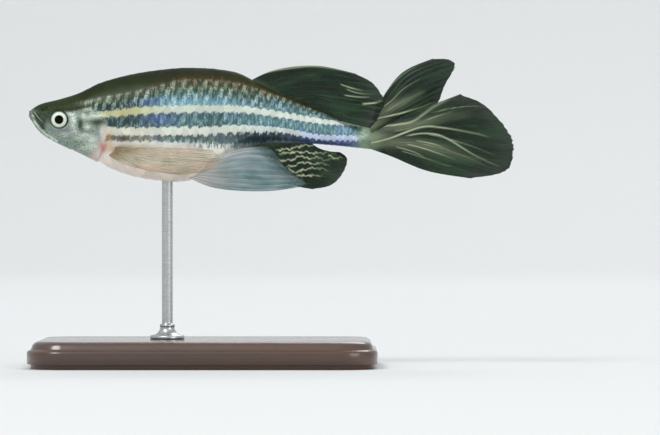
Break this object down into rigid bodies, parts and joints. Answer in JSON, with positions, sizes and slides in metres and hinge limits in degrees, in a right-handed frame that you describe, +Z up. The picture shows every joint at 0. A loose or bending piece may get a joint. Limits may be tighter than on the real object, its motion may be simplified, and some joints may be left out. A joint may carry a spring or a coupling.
{
  "type": "longfin zebra danio model",
  "caption": "Life-size still model of a longfin zebra danio, level and facing left, with long flowing fins, held by a short rod on a plain flat base.",
  "frame": {"origin": "middle of the stand base's underside", "axes": "+Z up, -X the way the fish looks, -Y its left side, which faces the picture's camera"},
  "size_m": [0.0541, 0.024, 0.0343],
  "materials": {
    "silver_skin": "wet, silvery green skin with a dark olive crown",
    "striped_skin": "wet scales, striped blue-green and silvery cream along the body",
    "fin_membrane": "thin grey-green membrane with pale lines along the rays",
    "pale_fin": "thin bluish-white membrane with amber rays",
    "eye": "glossy, a pale silvery ring round a black pupil",
    "rod_steel": "satin",
    "base_wood": "dark stained, satin lacquer"
  },
  "bodies": {
    "root": {"head": "silver_skin", "lower_jaw": "silver_skin", "gill_cover_left": "silver_skin", "gill_cover_right": "silver_skin", "barbel_snout_left": "silver_skin", "barbel_snout_right": "silver_skin", "barbel_jaw_left": "silver_skin", "barbel_jaw_right": "silver_skin", "trunk": "striped_skin", "tail_stem": "striped_skin", "dorsal_fin": "fin_membrane", "anal_fin": "fin_membrane", "tail_fin_upper": "fin_membrane", "tail_fin_lower": "fin_membrane", "pectoral_fin_left": "pale_fin", "pectoral_fin_right": "pale_fin", "pelvic_fin_left": "pale_fin", "pelvic_fin_right": "pale_fin", "eye_left": "eye", "eye_right": "eye", "stand_rod": "rod_steel", "stand_base": "base_wood"}
  },
  "joints": []
}
